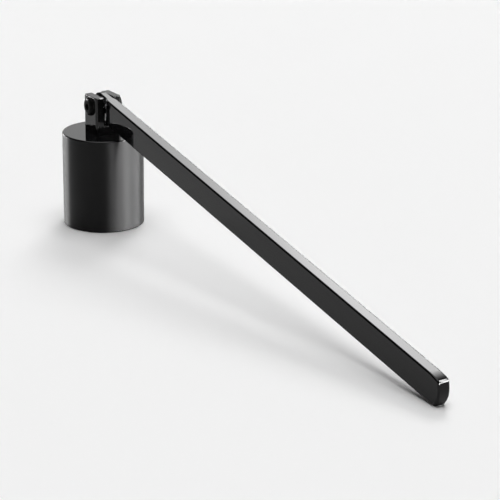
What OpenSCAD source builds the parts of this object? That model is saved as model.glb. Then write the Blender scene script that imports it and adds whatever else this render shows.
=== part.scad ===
// Hinged candle snuffer: a turned bell with a slotted fork on its crown, and a
// long flat handle that swings in the fork on a screw.
// The origin is the centre of the bell's mouth, +X runs along the handle and
// +Z is up. At rest the bell stands on its mouth and the handle's far end
// touches the same table.

/* [Bell] */
// Outside diameter of the bell
bell_d = 28; // [24:0.5:40]
// Height of the bell from its mouth to its crown
bell_h = 32.5; // [25:0.1:50]
// Thickness of the bell's side wall
bell_wall = 1.2; // [0.8:0.1:2]
// Thickness of the bell's crown
crown_t = 2; // [1.5:0.1:3]
// Radius of the outer edge round the crown
crown_edge_r = 0.5; // [0.2:0.1:1]
// Radius of the outer edge of the mouth
lip_edge_r = 0.3; // [0.1:0.05:0.5]
// Radius left by the turning tool in the corner under the crown
inner_corner_r = 2; // [1:0.1:3]

/* [Fork] */
// Length of the fork along the handle
fork_l = 8.6; // [7:0.1:9]
// Width of the fork across both ears
fork_w = 9.7; // [8:0.1:14]
// Width of the slot between the ears
slot_w = 3.9; // [3.4:0.1:5]
// Height of the pivot above the crown
pivot_rise = 9.4; // [9.2:0.1:12]
// Height of the ears above the pivot
ear_rise = 3.6; // [3.3:0.1:6]
// Depth of the slot's floor below the pivot
slot_depth = 6.6; // [6.3:0.1:7]
// Radius of the fork's outer edges
fork_edge_r = 0.8; // [0.2:0.1:1]
// Radius of the edges round the tops of the ears
ear_edge_r = 0.3; // [0.1:0.1:1]

/* [Handle] */
// Length of the handle from the pivot to its far tip
handle_l = 195; // [120:1:260]
// Height of the flat handle bar
bar_h = 8.7; // [7:0.1:10]
// Thickness of the flat handle bar
bar_t = 4.1; // [3:0.1:6]
// Thickness of the tongue that enters the fork
tongue_t = 2.1; // [1.6:0.1:2.4]
// Distance from the pivot to the root of the shoulders
tongue_l = 3.2; // [3.2:0.1:8]
// Radius of the cutter that leaves the shoulders
shoulder_r = 6; // [3:0.5:12]
// Radius of the bar's long edges
bar_edge_r = 0.3; // [0.1:0.05:0.5]
// Radius of the gentle run-off on top of the far end
run_off_r = 30; // [20:1:60]
// Radius of the upper corner of the far end
end_top_r = 1.3; // [0.8:0.1:2]
// Radius of the lower corner of the far end
end_foot_r = 1.6; // [0.8:0.1:3.2]
// Lean of the full round that narrows the far end towards its foot
tip_round_lean = 26; // [15:1:35]
// Distance from the far tip back to the front of that round, at the bar's lower edge
tip_round_in = 0.5; // [0.2:0.1:0.8]

/* [Pivot] */
// Diameter of the pivot screw's shank
pivot_d = 3; // [2.5:0.1:3.2]
// Diameter of the pivot screw's domed head
head_d = 6.4; // [5.5:0.1:6.6]
// Height of the pivot screw's domed head
head_h = 1.2; // [1:0.1:2]
// Size across the flats of both screws' sockets
socket_af = 2; // [1.5:0.1:2.5]
// Depth of both screws' sockets
socket_depth = 0.9; // [0.6:0.1:1.1]
// Size across the flats of the pivot nut
nut_af = 5.5; // [5:0.1:6]
// Thickness of the pivot nut
nut_t = 1.3; // [1.2:0.1:2.4]
// Length of thread that stands out of the nut
thread_stand_out = 0.7; // [0.1:0.1:1]
// Outside diameter of the washers beside the tongue
washer_d = 6; // [5:0.1:6.2]

/* [Fixing screw] */
// Diameter of the screw that holds the fork on the bell
fixing_d = 3; // [2.5:0.1:4]
// Diameter of the fixing screw's head
fixing_head_d = 5.7; // [5.5:0.1:8]
// Height of the fixing screw's head
fixing_head_h = 1.65; // [1.2:0.05:2]
// Distance from the fixing screw's tip to the slot's floor
tip_depth = 0.4; // [0.3:0.1:1]

/* [Clearances] */
// Radial clearance of the pivot screw in the tongue and the ears
running_gap = 0.05; // [0.02:0.01:0.08]
// Gap between the tongue and each washer
side_gap = 0.1; // [0.05:0.01:0.2]
// Radial gap that stands for the threads
thread_gap = 0.02; // [0.01:0.01:0.03]
// Radial clearance of the washers and the crown's hole round their screws
loose_gap = 0.1; // [0.05:0.05:0.2]

/* [Hidden] */

// Directions round the handle's far end, measured from straight up
run_off_turn = 8;
nose_start_turn = 63;
nose_end_turn = 104;

// Steps in which the rounded outlines are drawn
small_steps = 4;
end_steps = 6;
round_steps = 12;
pivot_end_steps = 24;
cut_over = 1;

// How far the full round stands off the bar's sides
round_stand_off = 0.05;

bell_r = bell_d / 2;
bore_r = bell_r - bell_wall;
ceiling_z = bell_h - crown_t;
pivot_z = bell_h + pivot_rise;
ear_top_z = pivot_z + ear_rise;
slot_floor_z = pivot_z - slot_depth;
half_h = bar_h / 2;

washer_t = (slot_w - tongue_t) / 2 - side_gap;
nut_face_y = fork_w / 2 + nut_t;
screw_end_y = nut_face_y + thread_stand_out;

// The nose of the far end takes up the height that the other arcs leave
run_off_drop = run_off_r * (1 - cos(run_off_turn));
top_drop = end_top_r * (cos(run_off_turn) - cos(nose_start_turn));
foot_drop = end_foot_r * (1 + cos(nose_end_turn));
nose_r = (bar_h - run_off_drop - top_drop - foot_drop) / (cos(nose_start_turn) - cos(nose_end_turn));

// Centres of the far end's four arcs, on the handle's own axes
run_off_x = handle_l - nose_r + (nose_r - end_top_r) * sin(nose_start_turn)
    - (run_off_r - end_top_r) * sin(run_off_turn);
run_off_c = [run_off_x, half_h - run_off_r];
end_top_c = run_off_c + (run_off_r - end_top_r) * towards(run_off_turn);
nose_c = end_top_c + (end_top_r - nose_r) * towards(nose_start_turn);
foot_c = nose_c + (nose_r - end_foot_r) * towards(nose_end_turn);

// Tilt at which the rounded foot of the far end touches the table
rest_tilt = asin((pivot_z - end_foot_r) / norm(foot_c)) - atan2(-foot_c[1], foot_c[0]);

// Unit vector at an angle from straight up, turning towards +X
function towards(angle) = [sin(angle), cos(angle)];

// Points on an arc between two angles from straight up
function arc(centre, r, start, end, steps) =
    [for (i = [0:steps]) centre + r * towards(start + (end - start) * i / steps)];

// Outline of the handle seen from the side, drawn in by an inset
function bar_outline(inset) = concat(
    arc([0, 0], half_h - inset, 180, 360, pivot_end_steps),
    arc(run_off_c, run_off_r - inset, 0, run_off_turn, small_steps),
    arc(end_top_c, end_top_r - inset, run_off_turn, nose_start_turn, end_steps),
    arc(nose_c, nose_r - inset, nose_start_turn, nose_end_turn, end_steps),
    arc(foot_c, end_foot_r - inset, nose_end_turn, 180, end_steps)
);

// Rectangle centred on X with its upper corners rounded
module arched_panel(width, base, top, r) {
    polygon(concat(
        [[-width / 2, base]],
        arc([-width / 2 + r, top - r], r, -90, 0, small_steps),
        arc([width / 2 - r, top - r], r, 0, 90, small_steps),
        [[width / 2, base]]
    ));
}

// Rectangle with four rounded corners
module rounded_rectangle(length, width, r) {
    x = length / 2 - r;
    y = width / 2 - r;
    polygon(concat(
        arc([x, y], r, 0, 90, small_steps),
        arc([x, -y], r, 90, 180, small_steps),
        arc([-x, -y], r, 180, 270, small_steps),
        arc([-x, y], r, 270, 360, small_steps)
    ));
}

// Stands a shape drawn along Z on the pivot's axis, which runs along Y
module on_pivot_axis() {
    translate([0, 0, pivot_z]) rotate([-90, 0, 0]) children();
}

// Hexagonal prism on Z, given across its flats
module hexagon(across_flats, height) {
    cylinder(d = across_flats / cos(30), h = height, $fn = 6);
}

// Domed screw head on Z: its seat is at z = 0 and its crown at z = -height
module domed_head(diameter, height) {
    rim_h = height * 0.25;
    dome_h = height - rim_h;
    flat_r = diameter * 0.22;
    rise = diameter / 2 - flat_r;
    difference() {
        rotate_extrude($fn = 96)
            polygon(concat(
                [[0, 0], [diameter / 2, 0]],
                [for (a = [0:15:90]) [flat_r + rise * cos(a), -rim_h - dome_h * sin(a)]],
                [[0, -height]]
            ));
        translate([0, 0, -height - cut_over])
            hexagon(socket_af, socket_depth + cut_over);
    }
}

// The bell: a cup turned from bar, open below
module bell() {
    color([0.05, 0.05, 0.055])
    difference() {
        rotate_extrude($fn = 180)
            polygon(concat(
                [[0, ceiling_z]],
                arc([bore_r - inner_corner_r, ceiling_z - inner_corner_r], inner_corner_r,
                    0, 90, small_steps),
                [[bore_r, 0]],
                arc([bell_r - lip_edge_r, lip_edge_r], lip_edge_r, 180, 90, small_steps),
                arc([bell_r - crown_edge_r, bell_h - crown_edge_r], crown_edge_r,
                    90, 0, small_steps),
                [[0, bell_h]]
            ));
        translate([0, 0, ceiling_z - cut_over])
            cylinder(r = fixing_d / 2 + loose_gap, h = crown_t + 2 * cut_over, $fn = 64);
    }
}

// The fork: a block on the crown, slotted right through for the tongue
module fork() {
    color([0.06, 0.06, 0.065])
    difference() {
        intersection() {
            translate([0, 0, bell_h])
                linear_extrude(ear_top_z - bell_h)
                    rounded_rectangle(fork_l, fork_w, fork_edge_r);
            rotate([90, 0, 0])
                linear_extrude(fork_w, center = true)
                    arched_panel(fork_l, bell_h, ear_top_z, ear_edge_r);
            rotate([90, 0, 90])
                linear_extrude(fork_l, center = true)
                    arched_panel(fork_w, bell_h, ear_top_z, ear_edge_r);
        }
        translate([-fork_l / 2 - cut_over, -slot_w / 2, slot_floor_z])
            cube([fork_l + 2 * cut_over, slot_w, ear_top_z - slot_floor_z + cut_over]);
        on_pivot_axis()
            cylinder(r = pivot_d / 2 + running_gap, h = fork_w + 2 * cut_over, center = true,
                $fn = 64);
        translate([0, 0, bell_h - cut_over])
            cylinder(r = fixing_d / 2 + thread_gap, h = slot_floor_z - bell_h + 2 * cut_over,
                $fn = 64);
    }
}

// The screw that comes up from inside the bell into the fork
module fixing_screw() {
    color([0.55, 0.55, 0.56])
    union() {
        translate([0, 0, ceiling_z])
            cylinder(d = fixing_d, h = slot_floor_z - tip_depth - ceiling_z, $fn = 64);
        translate([0, 0, ceiling_z])
            domed_head(fixing_head_d, fixing_head_h);
    }
}

// Solid handle bar with all its long edges and both ends rounded
module bar_blank() {
    rotate([90, 0, 0])
    hull()
        for (turn = [0:30:90]) {
            inset = bar_edge_r * (1 - cos(turn));
            linear_extrude(bar_t - 2 * bar_edge_r * (1 - sin(turn)), center = true)
                polygon(bar_outline(inset));
        }
}

// The full round on the far end, carried back over the whole bar. Its axis leans
// outwards at the top, so that it narrows only the lower part of the far end.
module leaning_round() {
    r = bar_t / 2 + round_stand_off;
    length = 2 * handle_l;
    translate([handle_l - tip_round_in - r / cos(tip_round_lean), 0, -half_h])
        rotate([0, tip_round_lean, 0])
            linear_extrude(length, center = true)
                polygon(concat(arc([0, 0], r, 0, 180, round_steps), [[-length, -r], [-length, r]]));
}

// What the cutter takes from one side of the bar to leave the tongue
module tongue_cut() {
    reach = half_h + cut_over;
    translate([-reach, tongue_t / 2, -reach])
        cube([reach + tongue_l, shoulder_r, 2 * reach]);
    translate([tongue_l, tongue_t / 2 + shoulder_r, 0])
        cylinder(r = shoulder_r, h = 2 * reach, center = true, $fn = 128);
}

// The handle: a flat bar whose pivot end is thinned to a rounded tongue
module handle() {
    color([0.05, 0.05, 0.055])
    translate([0, 0, pivot_z])
    rotate([0, rest_tilt, 0])
    difference() {
        intersection() {
            bar_blank();
            leaning_round();
        }
        for (side = [0, 1])
            mirror([0, side, 0]) tongue_cut();
        rotate([90, 0, 0])
            cylinder(r = pivot_d / 2 + running_gap, h = bar_t, center = true, $fn = 64);
    }
}

// The pivot screw: its domed head bears on the near ear
module pivot_screw() {
    color([0.07, 0.07, 0.075])
    union() {
        translate([0, -fork_w / 2, 0])
            on_pivot_axis() domed_head(head_d, head_h);
        translate([0, -fork_w / 2, 0])
            on_pivot_axis() cylinder(d = pivot_d, h = screw_end_y + fork_w / 2, $fn = 64);
    }
}

// The two washers that keep the tongue in the middle of the slot
module pivot_washers() {
    color([0.6, 0.6, 0.62])
    for (side = [-1, 1])
        translate([0, side * (slot_w - washer_t) / 2, 0])
            on_pivot_axis()
                difference() {
                    cylinder(d = washer_d, h = washer_t, center = true, $fn = 64);
                    cylinder(r = pivot_d / 2 + loose_gap, h = washer_t + 2 * cut_over,
                        center = true, $fn = 64);
                }
}

// The nut on the far ear, with the corners of its outer face turned off
module pivot_nut() {
    corner_r = nut_af / cos(30) / 2;
    color([0.07, 0.07, 0.075])
    translate([0, fork_w / 2, 0])
    on_pivot_axis()
    difference() {
        intersection() {
            hexagon(nut_af, nut_t);
            cylinder(r1 = corner_r + nut_t, r2 = nut_af / 2, h = nut_t, $fn = 96);
        }
        translate([0, 0, -cut_over])
            cylinder(r = pivot_d / 2 + thread_gap, h = nut_t + 2 * cut_over, $fn = 64);
    }
}

bell();
fork();
fixing_screw();
handle();
pivot_screw();
pivot_washers();
pivot_nut();
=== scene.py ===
import math

import bmesh
import bpy
from mathutils import Matrix, Vector


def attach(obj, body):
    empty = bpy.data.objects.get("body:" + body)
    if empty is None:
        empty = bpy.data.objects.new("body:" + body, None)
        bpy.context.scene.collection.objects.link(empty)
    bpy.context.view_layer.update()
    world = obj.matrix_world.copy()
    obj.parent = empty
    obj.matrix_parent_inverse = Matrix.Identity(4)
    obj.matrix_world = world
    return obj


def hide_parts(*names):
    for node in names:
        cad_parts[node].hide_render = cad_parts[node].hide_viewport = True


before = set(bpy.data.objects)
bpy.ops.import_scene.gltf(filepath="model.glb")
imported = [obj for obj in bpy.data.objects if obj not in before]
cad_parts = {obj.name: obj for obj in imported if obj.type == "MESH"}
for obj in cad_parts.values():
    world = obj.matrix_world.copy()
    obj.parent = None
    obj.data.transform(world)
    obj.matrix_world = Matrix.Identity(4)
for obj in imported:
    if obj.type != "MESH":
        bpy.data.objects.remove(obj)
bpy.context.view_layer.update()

MM = 0.001

# Camera, found from the outlines of the bell, the fork and the handle: angles in degrees, and
# where the centre of the bell's mouth lies from it, in millimetres to the right, up and ahead
CAMERA_AZIMUTH = 56.734
CAMERA_ELEVATION = 19.254
CAMERA_ROLL = 0.599
FOCAL_PX = 2011.2
IMAGE_PX = 500
SENSOR_MM = 36.0
MOUTH_SEEN_AT = Vector((-51.053, 10.421, 704.358))
CLIP_NEAR = 0.05
CLIP_FAR = 50

# The object's sizes in millimetres, as in the CAD source
BELL_R = 14.0
BELL_H = 32.5
BORE_R = 12.8
CEILING_Z = 30.5
CROWN_EDGE_R = 0.5
LIP_EDGE_R = 0.3
INNER_CORNER_R = 2.0
CROWN_HOLE_R = 1.6
FORK_L = 8.6
FORK_W = 9.7
FORK_EDGE_R = 0.8
EAR_EDGE_R = 0.3
SLOT_W = 3.9
SLOT_FLOOR_Z = 35.3
EAR_TOP_Z = 45.5
PIVOT_Z = 41.9
PIVOT_HOLE_R = 1.55
TAPPED_HOLE_R = 1.52
SHANK_R = 1.5
HEAD_D = 6.4
HEAD_H = 1.2
FIXING_HEAD_D = 5.7
FIXING_HEAD_H = 1.65
FIXING_TIP_Z = 34.9
SOCKET_AF = 2.0
SOCKET_DEPTH = 0.9
NUT_AF = 5.5
NUT_T = 1.3
SCREW_END_Y = 6.85
WASHER_R = 3.0
WASHER_T = 0.8
WASHER_GAP = 0.1
HANDLE_L = 195.0
HALF_H = 4.35
HALF_T = 2.05
TONGUE_HALF_T = 1.05
TONGUE_L = 3.2
SHOULDER_R = 6.0
RUN_OFF_R = 30.0
END_TOP_R = 1.3
END_FOOT_R = 1.6
TIP_ROUND_LEAN = 26.0
TIP_ROUND_IN = 0.5
TIP_ROUND_SPARE = 0.05
RUN_OFF_TURN = 8.0
NOSE_START_TURN = 63.0
NOSE_END_TURN = 104.0

# Small edge radii that only this visual model has
BAR_EDGE_R = 0.6
MILLED_EDGE_R = 0.12
FINE_EDGE_R = 0.06
SHARP_ANGLE = math.radians(38)

# Facets round each turned form, and the distance of the loops that hold its edges
BELL_STEPS = 256
SCREW_STEPS = 96
WASHER_STEPS = 64
HOLE_STEPS = 48
HOLD = 0.15

# Points closer than this are one point, in the handle's and the nut's mesh
SAME_POINT = 0.0001

# Screws: the rim below the dome as a share of the head's height, the radius of the flat on top
# as a share of its diameter, and the chamfer of the tip
HEAD_RIM_SHARE = 0.25
HEAD_FLAT_SHARE = 0.22
SCREW_CHAMFER = 0.25
DOME_STEPS = 16

# Loops along the handle: the distance of those beside the shoulders and the long edges, and
# the places of those on the bar, up to where the outline of the far end starts
SHOULDER_HOLD_IN = 0.1
SHOULDER_HOLD_OUT = 0.2
LONG_EDGE_HOLD = 0.12
LONG_EDGE_STEPS = 8
BAR_STATIONS = [12] + [20 * k for k in range(1, 10)] + [186]

# Black lacquer: where its coat is deep and where it is thin, mixed at random, and on worn edges
LACQUER_DEEP = (0.0022, 0.0022, 0.0025, 1)
LACQUER_THIN = (0.0040, 0.0040, 0.0044, 1)
LACQUER_EDGE = (0.0090, 0.0090, 0.0095, 1)
LACQUER_EDGE_ROUGHNESS = 0.05

# Blackened steel and plain steel: darkest, lightest and, on the first, on worn edges
OXIDE_DARK = (0.002, 0.002, 0.0022, 1)
OXIDE_LIGHT = (0.005, 0.005, 0.0048, 1)
OXIDE_EDGE = (0.016, 0.0155, 0.015, 1)
STEEL_DARK = (0.48, 0.48, 0.49, 1)
STEEL_LIGHT = (0.62, 0.62, 0.63, 1)

# Floor, softboxes and world
FLOOR_COLOUR = (0.94, 0.94, 0.94, 1)
FLOOR_HALF = 12.0
FLOOR_Z = -0.00003
SOFTBOX_DISTANCE = 10
SOFTBOX_COLUMNS = 16
SOFTBOX_ROWS = 8
WORLD_STRENGTH = 0.045


def towards(turn):
    """Unit vector (x, z) at an angle in degrees from straight up, turning towards +X."""
    return Vector((math.sin(math.radians(turn)), math.cos(math.radians(turn))))


def arc(centre, radius, start, end, steps):
    """Points (x, z) of an arc between two angles in degrees from straight up."""
    turns = [start + (end - start) * i / steps for i in range(steps + 1)]
    return [Vector(centre) + towards(t) * radius for t in turns]


def ring_rows(bm, profile, steps):
    """Turns the points (r, z) round Z and returns one row of vertices for each point."""
    rows = []
    for radius, z in profile:
        if radius < 1e-6:
            rows.append([bm.verts.new((0, 0, z))])
            continue
        angles = [2 * math.pi * k / steps for k in range(steps)]
        rows.append([bm.verts.new((radius * math.cos(a), radius * math.sin(a), z)) for a in angles])
    return rows


def join_rows(bm, a, b):
    """Fills the band between two rows, either of which may be a single vertex."""
    count = max(len(a), len(b))
    for k in range(count):
        n = (k + 1) % count
        corners = [a[k % len(a)], a[n % len(a)], b[n % len(b)], b[k % len(b)]]
        face = []
        for corner in corners:
            if corner not in face:
                face.append(corner)
        bm.faces.new(face)


def lathe(profile, steps, closed):
    """Solid of revolution. A closed profile is a loop, an open one runs from axis to axis."""
    bm = bmesh.new()
    rows = ring_rows(bm, profile, steps)
    for a, b in zip(rows, rows[1:]):
        join_rows(bm, a, b)
    if closed:
        join_rows(bm, rows[-1], rows[0])
    bmesh.ops.recalc_face_normals(bm, faces=bm.faces)
    return bm


def prism(outline, low, high):
    """Solid with an outline (x, y) and flat ends at two heights."""
    bm = bmesh.new()
    bottom = bm.faces.new([bm.verts.new((x, y, low)) for x, y in outline])
    top = bmesh.ops.extrude_face_region(bm, geom=[bottom])["geom"]
    lift = Vector((0, 0, high - low))
    bmesh.ops.translate(bm, vec=lift, verts=[v for v in top if isinstance(v, bmesh.types.BMVert)])
    bmesh.ops.recalc_face_normals(bm, faces=bm.faces)
    return bm


def polygon(radius, sides):
    """Corners of a regular polygon round the origin."""
    return [(radius * math.sin(2 * math.pi * (k + 0.5) / sides),
             radius * math.cos(2 * math.pi * (k + 0.5) / sides)) for k in range(sides)]


def box(low, high):
    """Axis-aligned solid between two corners."""
    outline = [(low[0], low[1]), (high[0], low[1]), (high[0], high[1]), (low[0], high[1])]
    return prism(outline, low[2], high[2])


def turned(bm, matrix):
    """Moves a whole mesh by a matrix."""
    bmesh.ops.transform(bm, matrix=matrix, verts=bm.verts)
    return bm


def bare_object(name, bm):
    """Puts a mesh that was drawn in millimetres into the scene."""
    mesh = bpy.data.meshes.new(name)
    bm.to_mesh(mesh)
    bm.free()
    item = bpy.data.objects.new(name, mesh)
    bpy.context.scene.collection.objects.link(item)
    return item


def carve(bm, cutters):
    """Cuts solids out of a solid, or keeps what two share, and returns the new mesh."""
    base = bare_object("blank", bm)
    tools = []
    for operation, cutter in cutters:
        tool = bare_object("cutter", cutter)
        step = base.modifiers.new("carve", "BOOLEAN")
        step.operation = operation
        step.solver = "EXACT"
        step.object = tool
        tools.append(tool)
    bpy.context.view_layer.update()
    graph = bpy.context.evaluated_depsgraph_get()
    mesh = bpy.data.meshes.new_from_object(base.evaluated_get(graph))
    carved = bmesh.new()
    carved.from_mesh(mesh)
    bpy.data.meshes.remove(mesh)
    for item in [base] + tools:
        old = item.data
        bpy.data.objects.remove(item)
        bpy.data.meshes.remove(old)
    bmesh.ops.remove_doubles(carved, verts=carved.verts, dist=0.002)
    bmesh.ops.dissolve_limit(carved, angle_limit=math.radians(0.5), verts=carved.verts,
                             edges=carved.edges, delimit={"NORMAL"})
    return carved


def round_edges(bm, edges, radius, steps):
    """Rounds some edges of a mesh."""
    bmesh.ops.bevel(bm, geom=edges, offset=radius, offset_type="OFFSET", segments=steps,
                    profile=0.5, affect="EDGES", clamp_overlap=True)
    return bm


def ease_edges(bm, radius, steps, angle, above=-math.inf):
    """Rounds the edges that are sharper than an angle in degrees and reach above a height."""
    sharp = [e for e in bm.edges if len(e.link_faces) == 2
             and e.calc_face_angle(0) > math.radians(angle)
             and max(v.co.z for v in e.verts) > above]
    return round_edges(bm, sharp, radius, steps)


def pivot_hole(half_length):
    """The hole on the pivot's axis, as a solid to cut with."""
    hole = prism(polygon(PIVOT_HOLE_R, HOLE_STEPS), -half_length, half_length)
    return turned(hole, Matrix.Translation((0, 0, PIVOT_Z)) @ Matrix.Rotation(math.pi / 2, 4, "X"))


def piece(name, bm, material, body, node):
    """Finishes a mesh as a piece that stands for a CAD node."""
    bmesh.ops.recalc_face_normals(bm, faces=bm.faces)
    for face in bm.faces:
        face.smooth = True
    for edge in bm.edges:
        edge.smooth = len(edge.link_faces) == 2 and edge.calc_face_angle(0) < SHARP_ANGLE
    bmesh.ops.scale(bm, vec=(MM, MM, MM), verts=bm.verts)
    item = bare_object(name, bm)
    item.data.materials.append(material)
    normals = item.modifiers.new("normals", "WEIGHTED_NORMAL")
    normals.keep_sharp = True
    normals.weight = 100
    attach(item, body)
    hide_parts(node)
    return item


# Materials

def add(tree, kind, inputs=None, **settings):
    """Adds a node, sets its attributes and fills its inputs with values or links."""
    node = tree.nodes.new(kind)
    for key, value in settings.items():
        setattr(node, key, value)
    for key, value in (inputs or {}).items():
        if isinstance(value, bpy.types.NodeSocket):
            tree.links.new(value, node.inputs[key])
        else:
            node.inputs[key].default_value = value
    return node


def start_material(name):
    """New material with its tree, its shader and the place on the object in millimetres."""
    material = bpy.data.materials.new(name)
    material.use_nodes = True
    tree = material.node_tree
    tree.nodes.clear()
    output = add(tree, "ShaderNodeOutputMaterial")
    shader = add(tree, "ShaderNodeBsdfPrincipled")
    tree.links.new(shader.outputs["BSDF"], output.inputs["Surface"])
    coordinates = add(tree, "ShaderNodeTexCoord")
    place = add(tree, "ShaderNodeVectorMath",
                {0: coordinates.outputs["Object"], 1: (1 / MM, 1 / MM, 1 / MM)},
                operation="MULTIPLY").outputs[0]
    return material, tree, shader, place


def noise(tree, place, scale, detail=3.0, stretch=(1, 1, 1)):
    """Noise from 0 to 1 with a scale per millimetre."""
    stretched = add(tree, "ShaderNodeVectorMath", {0: place, 1: stretch}, operation="MULTIPLY")
    return add(tree, "ShaderNodeTexNoise",
               {"Vector": stretched.outputs[0], "Scale": scale, "Detail": detail}).outputs["Fac"]


def spread(tree, value, low, high, from_low=0.3, from_high=0.7):
    """Maps a value to another range, with soft ends."""
    return add(tree, "ShaderNodeMapRange",
               {"Value": value, "From Min": from_low, "From Max": from_high,
                "To Min": low, "To Max": high}, interpolation_type="SMOOTHSTEP").outputs["Result"]


def tint(tree, value, low, high):
    """Mixes two colours by a value. Each colour is a socket or four numbers."""
    return add(tree, "ShaderNodeMix", {"Factor": value, 6: low, 7: high},
               data_type="RGBA").outputs[2]


def bump(tree, height, depth, under=None):
    """Surface normal from a height, with a depth in millimetres."""
    node = add(tree, "ShaderNodeBump", {"Height": height, "Strength": 1.0, "Distance": depth * MM})
    if under is not None:
        tree.links.new(under, node.inputs["Normal"])
    return node.outputs["Normal"]


def worn(tree):
    """How far a point is on an outer edge, from 0 on a flat to 1."""
    geometry = add(tree, "ShaderNodeNewGeometry")
    return spread(tree, geometry.outputs["Pointiness"], 0.0, 1.0, 0.51, 0.6)


def lacquer(name, ior, rough, peel, lines=None, anisotropy=0.0):
    """Black gloss lacquer with orange peel, faint polishing lines and thinner, drier edges.

    The peel is a depth in millimetres. Lines are the stretch of their noise and their depth.
    """
    material, tree, shader, place = start_material(name)
    cloud = noise(tree, place, 0.09, 4.0)
    smear = noise(tree, place, 0.45, 5.0, (0.4, 1, 1))
    edge = worn(tree)
    colour = tint(tree, edge, tint(tree, cloud, LACQUER_DEEP, LACQUER_THIN), LACQUER_EDGE)
    tree.links.new(colour, shader.inputs["Base Color"])
    total = add(tree, "ShaderNodeMath",
                {0: edge, 1: LACQUER_EDGE_ROUGHNESS, 2: spread(tree, smear, *rough)},
                operation="MULTIPLY_ADD")
    tree.links.new(total.outputs[0], shader.inputs["Roughness"])
    normal = bump(tree, noise(tree, place, 1.1, 2.0), peel)
    if lines is not None:
        stretch, depth = lines
        normal = bump(tree, noise(tree, place, 1.0, 6.0, stretch), depth, normal)
    tree.links.new(normal, shader.inputs["Normal"])
    shader.inputs["IOR"].default_value = ior
    if anisotropy > 0:
        shader.inputs["Anisotropic"].default_value = anisotropy
        shader.inputs["Anisotropic Rotation"].default_value = 0.25
        tangent = add(tree, "ShaderNodeTangent", direction_type="RADIAL", axis="Z")
        tree.links.new(tangent.outputs["Tangent"], shader.inputs["Tangent"])
    return material


def black_oxide(name):
    """Blackened steel of the pivot's screw and nut: satin, with brighter edges."""
    material, tree, shader, place = start_material(name)
    cloud = noise(tree, place, 0.8, 4.0)
    colour = tint(tree, worn(tree), tint(tree, cloud, OXIDE_DARK, OXIDE_LIGHT), OXIDE_EDGE)
    tree.links.new(colour, shader.inputs["Base Color"])
    tree.links.new(spread(tree, cloud, 0.2, 0.28), shader.inputs["Roughness"])
    tree.links.new(bump(tree, noise(tree, place, 3.0, 3.0), 0.004), shader.inputs["Normal"])
    shader.inputs["IOR"].default_value = 1.1
    return material


def bright_steel(name):
    """Plain steel of the pieces inside, with turning marks."""
    material, tree, shader, place = start_material(name)
    cloud = noise(tree, place, 0.7, 4.0)
    tree.links.new(tint(tree, cloud, STEEL_DARK, STEEL_LIGHT), shader.inputs["Base Color"])
    tree.links.new(spread(tree, cloud, 0.22, 0.34), shader.inputs["Roughness"])
    tree.links.new(bump(tree, noise(tree, place, 4.0, 3.0), 0.003), shader.inputs["Normal"])
    shader.inputs["Metallic"].default_value = 1.0
    return material


bell_lacquer = lacquer("bell_lacquer", ior=1.3, rough=(0.36, 0.42), peel=0.0006,
                       lines=((0.2, 0.2, 22), 0.0015), anisotropy=0.9)
crown_lacquer = lacquer("crown_lacquer", ior=1.35, rough=(0.02, 0.035), peel=0.0004)
fork_lacquer = lacquer("fork_lacquer", ior=1.35, rough=(0.02, 0.04), peel=0.0004)
handle_lacquer = lacquer("handle_lacquer", ior=1.3, rough=(0.03, 0.07), peel=0.0006,
                         lines=((0.05, 3, 3), 0.0004))
fastener_black = black_oxide("fastener_black")
steel = bright_steel("steel")


# The bell

def build_bell():
    """The turned cup: brushed round its side, and polished on the crown and inside."""
    inner = arc((BORE_R - INNER_CORNER_R, CEILING_Z - INNER_CORNER_R), INNER_CORNER_R, 0, 90, 12)
    mouth = arc((BORE_R + FINE_EDGE_R, FINE_EDGE_R), FINE_EDGE_R, 270, 180, 3)
    lip = arc((BELL_R - LIP_EDGE_R, LIP_EDGE_R), LIP_EDGE_R, 180, 90, 6)
    rim = arc((BELL_R - CROWN_EDGE_R, BELL_H - CROWN_EDGE_R), CROWN_EDGE_R, 90, 0, 10)
    profile = [(CROWN_HOLE_R, CEILING_Z), *inner, (BORE_R, HOLD * 3), *mouth, *lip,
               (BELL_R, LIP_EDGE_R + HOLD), (BELL_R, BELL_H - CROWN_EDGE_R - HOLD), *rim,
               (BELL_R - CROWN_EDGE_R - HOLD, BELL_H), (CROWN_HOLE_R, BELL_H)]
    bm = lathe(profile, BELL_STEPS, True)
    side_low, side_high = LIP_EDGE_R, BELL_H - CROWN_EDGE_R * 0.6
    for face in bm.faces:
        middle = face.calc_center_median()
        on_side = math.hypot(middle.x, middle.y) > BELL_R - CROWN_EDGE_R * 0.2
        face.material_index = 0 if on_side and side_low < middle.z < side_high else 1
    item = piece("bell_shell", bm, bell_lacquer, "bell_and_fork", "bell")
    item.data.materials.append(crown_lacquer)
    return item


# The fork

def build_fork():
    """The slotted block with its two ears. Its foot stays sharp on the crown."""
    bm = box((-FORK_L / 2, -FORK_W / 2, BELL_H), (FORK_L / 2, FORK_W / 2, EAR_TOP_Z))
    upright = [e for e in bm.edges if abs(e.verts[0].co.z - e.verts[1].co.z) > 1]
    round_edges(bm, upright, FORK_EDGE_R, 8)
    top = [e for e in bm.edges if min(v.co.z for v in e.verts) > EAR_TOP_Z - 0.01]
    round_edges(bm, top, EAR_EDGE_R, 6)
    slot = box((-FORK_L, -SLOT_W / 2, SLOT_FLOOR_Z), (FORK_L, SLOT_W / 2, EAR_TOP_Z + 2))
    tapped = prism(polygon(TAPPED_HOLE_R, HOLE_STEPS), BELL_H - 1, SLOT_FLOOR_Z + 1)
    bm = carve(bm, [("DIFFERENCE", cutter) for cutter in (slot, pivot_hole(FORK_W), tapped)])
    ease_edges(bm, MILLED_EDGE_R, 3, 50, BELL_H + 0.01)
    return piece("fork_block", bm, fork_lacquer, "bell_and_fork", "fork")


# The screws, the washers and the nut, drawn along +Z from their seats

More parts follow.
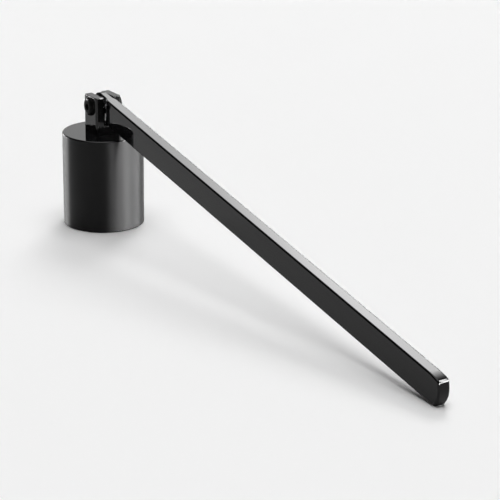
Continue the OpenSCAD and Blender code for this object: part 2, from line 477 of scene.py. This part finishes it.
def corner_radius(across_flats):
    """Radius to the corners of a hexagon."""
    return across_flats / 2 / math.cos(math.pi / 6)


def screw(head_d, head_h, end):
    """Domed screw: its seat is at z = 0, its crown at z = -head_h and its tip at z = end."""
    rim_h = head_h * HEAD_RIM_SHARE
    flat_r = head_d * HEAD_FLAT_SHARE
    rise = head_d / 2 - flat_r
    dome = [(flat_r + rise * math.cos(a), -rim_h - (head_h - rim_h) * math.sin(a))
            for a in [math.pi / 2 * k / DOME_STEPS for k in range(DOME_STEPS, -1, -1)]]
    profile = [(0, -head_h), *dome, (head_d / 2, -FINE_EDGE_R), (head_d / 2 - FINE_EDGE_R, 0),
               (SHANK_R, 0), (SHANK_R, end - SCREW_CHAMFER), (SHANK_R - SCREW_CHAMFER, end),
               (0, end)]
    bm = lathe(profile, SCREW_STEPS, False)
    socket = prism(polygon(corner_radius(SOCKET_AF), 6), -head_h - 1, -head_h + SOCKET_DEPTH)
    bm = carve(bm, [("DIFFERENCE", socket)])
    return ease_edges(bm, FINE_EDGE_R / 2, 2, 50)


def along_pivot(y):
    """Stands a piece drawn along Z on the pivot's axis with its seat at y."""
    return Matrix.Translation((0, y, PIVOT_Z)) @ Matrix.Rotation(-math.pi / 2, 4, "X")


def build_screws():
    """The pivot screw through the ears, and the fixing screw from inside the bell."""
    pivot = turned(screw(HEAD_D, HEAD_H, SCREW_END_Y + FORK_W / 2), along_pivot(-FORK_W / 2))
    piece("pivot_screw_body", pivot, fastener_black, "bell_and_fork", "pivot_screw")
    fixing = turned(screw(FIXING_HEAD_D, FIXING_HEAD_H, FIXING_TIP_Z - CEILING_Z),
                    Matrix.Translation((0, 0, CEILING_Z)))
    piece("fixing_screw_body", fixing, steel, "bell_and_fork", "fixing_screw")


def build_nut():
    """The hexagon nut behind the far ear, with its corners chamfered on the outside."""
    corner_r, below = corner_radius(NUT_AF), 0.5
    hexagon = prism(polygon(corner_r, 6), 0, NUT_T)
    cone = lathe([(0, -below), (corner_r + NUT_T + below, -below), (NUT_AF / 2, NUT_T), (0, NUT_T)],
                 SCREW_STEPS, False)
    hole = prism(polygon(TAPPED_HOLE_R, HOLE_STEPS), -1, NUT_T + 1)
    nut = carve(hexagon, [("INTERSECT", cone), ("DIFFERENCE", hole)])
    ease_edges(nut, FINE_EDGE_R, 2, 20)
    bmesh.ops.remove_doubles(nut, verts=nut.verts, dist=SAME_POINT)
    bmesh.ops.holes_fill(nut, edges=[e for e in nut.edges if e.is_boundary], sides=0)
    turned(nut, along_pivot(FORK_W / 2))
    piece("pivot_nut_body", nut, fastener_black, "bell_and_fork", "pivot_nut")


def build_washers():
    """The two washers, one on each side of the tongue."""
    washers = bmesh.new()
    half, ease, hole_r = WASHER_T / 2, FINE_EDGE_R, SHANK_R + WASHER_GAP
    profile = [(hole_r, -half), (WASHER_R - ease, -half), (WASHER_R, -half + ease),
               (WASHER_R, half - ease), (WASHER_R - ease, half), (hole_r, half)]
    for side in (-1, 1):
        ring = lathe(profile, WASHER_STEPS, True)
        turned(ring, along_pivot(side * (SLOT_W - WASHER_T) / 2))
        mesh = bpy.data.meshes.new("ring")
        ring.to_mesh(mesh)
        ring.free()
        washers.from_mesh(mesh)
        bpy.data.meshes.remove(mesh)
    piece("pivot_washer_pair", washers, steel, "bell_and_fork", "pivot_washers")


# The handle, drawn on its own axes: s along it, o upwards across it, y along the pivot

NOSE_R = ((2 * HALF_H - RUN_OFF_R * (1 - towards(RUN_OFF_TURN).y)
           - END_TOP_R * (towards(RUN_OFF_TURN).y - towards(NOSE_START_TURN).y)
           - END_FOOT_R * (1 + towards(NOSE_END_TURN).y))
          / (towards(NOSE_START_TURN).y - towards(NOSE_END_TURN).y))
RUN_OFF_C = Vector((HANDLE_L - NOSE_R + (NOSE_R - END_TOP_R) * towards(NOSE_START_TURN).x
                    - (RUN_OFF_R - END_TOP_R) * towards(RUN_OFF_TURN).x, HALF_H - RUN_OFF_R))
END_TOP_C = RUN_OFF_C + (RUN_OFF_R - END_TOP_R) * towards(RUN_OFF_TURN)
NOSE_C = END_TOP_C + (END_TOP_R - NOSE_R) * towards(NOSE_START_TURN)
FOOT_C = NOSE_C + (NOSE_R - END_FOOT_R) * towards(NOSE_END_TURN)
REST_TILT = (math.asin((PIVOT_Z - END_FOOT_R) / FOOT_C.length)
             - math.atan2(-FOOT_C.y, FOOT_C.x))
ROUND_R = HALF_T + TIP_ROUND_SPARE
ROUND_LEAN = math.radians(TIP_ROUND_LEAN)
ROUND_S = HANDLE_L - TIP_ROUND_IN - ROUND_R / math.cos(ROUND_LEAN)


def chains():
    """The handle's outline as an upper and a lower chain of (point, outward direction).

    Both run from the pivot end's tip to the middle of the nose and have as many points, which
    stand at the same s as far as the shoulders reach.
    """
    upper, lower = [], []
    pivot_steps, shoulder_steps = 24, 12
    for k in range(pivot_steps + 1):
        turn = 90.0 * k / pivot_steps
        upper.append((towards(270 + turn) * HALF_H, towards(270 + turn)))
        lower.append((towards(270 - turn) * HALF_H, towards(270 - turn)))
    reach = math.acos(1 - (HALF_T - TONGUE_HALF_T) / SHOULDER_R)
    stations = [TONGUE_L / 2, TONGUE_L - SHOULDER_HOLD_IN]
    stations += [TONGUE_L + SHOULDER_R * math.sin(reach * k / shoulder_steps)
                 for k in range(shoulder_steps + 1)]
    stations += [stations[-1] + SHOULDER_HOLD_OUT] + BAR_STATIONS
    for s in stations:
        upper.append((Vector((s, HALF_H)), Vector((0, 1))))
        lower.append((Vector((s, -HALF_H)), Vector((0, -1))))
    nose_middle = (NOSE_START_TURN + NOSE_END_TURN) / 2
    parts = [(upper, RUN_OFF_C, RUN_OFF_R, 0, RUN_OFF_TURN, 8),
             (upper, END_TOP_C, END_TOP_R, RUN_OFF_TURN, NOSE_START_TURN, 18),
             (upper, NOSE_C, NOSE_R, NOSE_START_TURN, nose_middle, 8),
             (lower, FOOT_C, END_FOOT_R, 180, NOSE_END_TURN, 26),
             (lower, NOSE_C, NOSE_R, NOSE_END_TURN, nose_middle, 8)]
    for chain, centre, radius, start, end, steps in parts:
        for k in range(steps + 1):
            turn = start + (end - start) * k / steps
            point = centre + towards(turn) * radius
            if (point - chain[-1][0]).length > 1e-4:
                chain.append((point, towards(turn)))
    return upper, lower


def half_thickness(s):
    """Half of the handle's thickness at s: the tongue, then the cutter's run-out, then the bar."""
    if s <= TONGUE_L:
        return TONGUE_HALF_T
    run = min(s - TONGUE_L, SHOULDER_R)
    return min(HALF_T, TONGUE_HALF_T + SHOULDER_R - math.sqrt(SHOULDER_R ** 2 - run ** 2))


def narrowed(s, o, y):
    """Where a point at s ends up behind the far end's leaning full round."""
    axis = ROUND_S + (o + HALF_H) * math.tan(ROUND_LEAN)
    return min(s, axis + math.sqrt(ROUND_R ** 2 - y ** 2) / math.cos(ROUND_LEAN))


def build_handle():
    """The bar with its milled tongue and its narrowed far end, as rings across its thickness."""
    upper, lower = chains()
    count = len(upper)
    loop = upper + lower[-2:0:-1]
    place = Matrix.Translation((0, 0, PIVOT_Z)) @ Matrix.Rotation(REST_TILT, 4, "Y")
    bm = bmesh.new()

    # A layer is the edge of a flat, a step of the long edge's round or a share of the thickness.
    # Where the far end's round cuts into a flat, the flat ends on the round.
    layers = [("cap", None)]
    layers += [("edge", 90.0 * k / LONG_EDGE_STEPS) for k in range(LONG_EDGE_STEPS + 1)]
    layers += [("band", share) for share in (1.0, 0.8, 0.55, 0.3, 0.1)]
    rings = []
    for side in (-1, 1):
        rows = []
        for kind, step in layers:
            row = []
            for point, out in loop:
                half = half_thickness(point.x)
                share = (half - TONGUE_HALF_T) / (HALF_T - TONGUE_HALF_T)
                radius = MILLED_EDGE_R + (BAR_EDGE_R - MILLED_EDGE_R) * share ** 4
                if kind == "cap":
                    inset, y = radius + LONG_EDGE_HOLD, half
                    inner = point - out * inset
                    if narrowed(inner.x, inner.y, half) < inner.x:
                        inset = radius
                elif kind == "band":
                    inset, y = 0.0, (half - radius - LONG_EDGE_HOLD) * step
                else:
                    inset = radius * (1 - math.sin(math.radians(step)))
                    y = half - radius * (1 - math.cos(math.radians(step)))
                p = point - out * inset
                s = narrowed(p.x, p.y, y)
                row.append(bm.verts.new(place @ Vector((s, side * y, p.y))))
            rows.append(row)
        rings.append(rows)
    order = rings[0] + rings[1][::-1]
    for a, b in zip(order, order[1:]):
        join_rows(bm, a, b)
    # The flats: bands from edge to edge as far as the bar is straight, then one face to its end
    straight = sum(point.x <= BAR_STATIONS[-1] for point, _ in upper) - 1
    for cap in (rings[0][0], rings[1][0]):
        top = cap[:count]
        bottom = [cap[0]] + cap[:count - 2:-1]
        bm.faces.new([top[0], top[1], bottom[1]])
        for k in range(1, straight):
            bm.faces.new([top[k], top[k + 1], bottom[k + 1], bottom[k]])
        bm.faces.new(top[straight:] + bottom[count - 2:straight - 1:-1])
    bmesh.ops.remove_doubles(bm, verts=bm.verts, dist=SAME_POINT)
    bmesh.ops.recalc_face_normals(bm, faces=bm.faces)

    bm = carve(bm, [("DIFFERENCE", pivot_hole(HALF_T))])
    return piece("handle_bar", bm, handle_lacquer, "swinging_handle", "handle")


build_bell()
build_fork()
build_screws()
build_nut()
build_washers()
build_handle()


# Floor and softboxes, which aren't part of the object

def build_floor():
    """Plain pale table top, a hair below the object."""
    bm = bmesh.new()
    corners = [(-FLOOR_HALF, -FLOOR_HALF), (FLOOR_HALF, -FLOOR_HALF),
               (FLOOR_HALF, FLOOR_HALF), (-FLOOR_HALF, FLOOR_HALF)]
    bm.faces.new([bm.verts.new((x, y, FLOOR_Z)) for x, y in corners])
    floor = bare_object("floor", bm)
    material = bpy.data.materials.new("floor_paper")
    material.use_nodes = True
    shader = material.node_tree.nodes["Principled BSDF"]
    shader.inputs["Base Color"].default_value = FLOOR_COLOUR
    shader.inputs["Roughness"].default_value = 0.9
    shader.inputs["Specular IOR Level"].default_value = 0.0
    floor.data.materials.append(material)


def softbox(name, azimuths, elevations, strength, fades, distance=SOFTBOX_DISTANCE, accent=False):
    """Curved softbox round the object that spans azimuths from +X and elevations, in degrees.

    Its light falls off towards its start, end, low and high side. Each fade is the share of the
    box that it takes and what is left of the light at the edge. An accent only adds a highlight
    to gloss, and doesn't light the floor.
    """
    across, up = SOFTBOX_COLUMNS, SOFTBOX_ROWS
    bm = bmesh.new()
    uv = bm.loops.layers.uv.new("UVMap")
    grid = []
    for j in range(up + 1):
        elevation = math.radians(elevations[0] + (elevations[1] - elevations[0]) * j / up)
        row = []
        for i in range(across + 1):
            azimuth = math.radians(azimuths[0] + (azimuths[1] - azimuths[0]) * i / across)
            direction = Vector((math.cos(azimuth) * math.cos(elevation),
                                math.sin(azimuth) * math.cos(elevation), math.sin(elevation)))
            row.append((bm.verts.new(direction * distance), (i / across, j / up)))
        grid.append(row)
    for j in range(up):
        for i in range(across):
            corners = [grid[j][i], grid[j + 1][i], grid[j + 1][i + 1], grid[j][i + 1]]
            face = bm.faces.new([c[0] for c in corners])
            for loop, (_, place) in zip(face.loops, corners):
                loop[uv].uv = place
    lamp = bare_object(name, bm)
    material = bpy.data.materials.new(name + "_light")
    material.use_nodes = True
    tree = material.node_tree
    tree.nodes.clear()
    coordinates = add(tree, "ShaderNodeTexCoord")
    split = add(tree, "ShaderNodeSeparateXYZ", {0: coordinates.outputs["UV"]})
    light = strength
    for axis, (first, first_left), (last, last_left) in ((0, *fades[:2]), (1, *fades[2:])):
        shares = []
        if first > 0:
            shares.append(spread(tree, split.outputs[axis], first_left, 1.0, 0.0, first))
        if last > 0:
            shares.append(spread(tree, split.outputs[axis], 1.0, last_left, 1.0 - last, 1.0))
        for share in shares:
            light = add(tree, "ShaderNodeMath", {0: share, 1: light},
                        operation="MULTIPLY").outputs[0]
    emission = add(tree, "ShaderNodeEmission", {"Strength": light})
    output = add(tree, "ShaderNodeOutputMaterial", {"Surface": emission.outputs[0]})
    output.is_active_output = True
    lamp.data.materials.append(material)
    lamp.visible_camera = False
    lamp.visible_diffuse = not accent


build_floor()

# These light the object and the table
softbox("key_softbox", azimuths=(115.5, 143.8), elevations=(27, 57), strength=11.6,
        fades=((0.65, 0), (0.37, 0.47), (0.2, 0), (0.3, 0)))
softbox("wing_softbox", azimuths=(143.8, 158), elevations=(27, 57), strength=5.6,
        fades=((0, 1), (0.5, 0), (0.2, 0), (0.3, 0)))
softbox("top_softbox", azimuths=(0, 360), elevations=(62, 88), strength=3.6,
        fades=((0, 1), (0, 1), (0.3, 0.3), (0, 1)))
softbox("back_softbox", azimuths=(126, 172), elevations=(4, 26.5), strength=0.95,
        fades=((0.2, 0), (0.2, 0), (0.15, 0), (0.15, 0)))

# These only draw highlights in the gloss
softbox("right_softbox", azimuths=(-24, 102), elevations=(0.5, 9), strength=86.0,
        fades=((0.32, 0), (0.22, 0), (0.1, 0), (0.05, 0)), accent=True)
softbox("strip_softbox", azimuths=(34, 49), elevations=(9, 42), strength=42.0,
        fades=((0.1, 0), (0.1, 0), (0, 1), (0, 1)), distance=9.6, accent=True)
softbox("upper_strip_softbox", azimuths=(48, 76), elevations=(41, 56), strength=42.0,
        fades=((0, 1), (0.3, 0), (0.1, 0), (0.1, 0)), distance=9.8, accent=True)
softbox("left_softbox", azimuths=(178, 217.5), elevations=(0.5, 8), strength=56.0,
        fades=((0.7, 0.2), (0.08, 0), (0.1, 0), (0.3, 0)), accent=True)

world = bpy.data.worlds.new("studio")
bpy.context.scene.world = world
world.use_nodes = True
background = world.node_tree.nodes["Background"]
background.inputs["Color"].default_value = (1, 1, 1, 1)
background.inputs["Strength"].default_value = WORLD_STRENGTH


# Camera

def build_camera():
    """Camera at the photo's viewing angle, placed from where it sees the mouth's centre."""
    azimuth, elevation = math.radians(CAMERA_AZIMUTH), math.radians(CAMERA_ELEVATION)
    roll = math.radians(CAMERA_ROLL)
    right = Vector((math.cos(azimuth), math.sin(azimuth), 0))
    ahead = Vector((-math.sin(azimuth), math.cos(azimuth), 0))
    forward = ahead * math.cos(elevation) - Vector((0, 0, math.sin(elevation)))
    up = ahead * math.sin(elevation) + Vector((0, 0, math.cos(elevation)))
    across = right * math.cos(roll) + up * math.sin(roll)
    above = up * math.cos(roll) - right * math.sin(roll)
    turn = Matrix((across, above, -forward)).transposed()
    place = -(across * MOUTH_SEEN_AT.x + above * MOUTH_SEEN_AT.y + forward * MOUTH_SEEN_AT.z)
    data = bpy.data.cameras.new("camera")
    data.sensor_width = SENSOR_MM
    data.lens = FOCAL_PX / IMAGE_PX * SENSOR_MM
    data.clip_start = CLIP_NEAR
    data.clip_end = CLIP_FAR
    camera = bpy.data.objects.new("camera", data)
    camera.matrix_world = Matrix.Translation(place * MM) @ turn.to_4x4()
    bpy.context.scene.collection.objects.link(camera)
    bpy.context.scene.camera = camera


build_camera()
bpy.context.scene.view_settings.view_transform = "Standard"
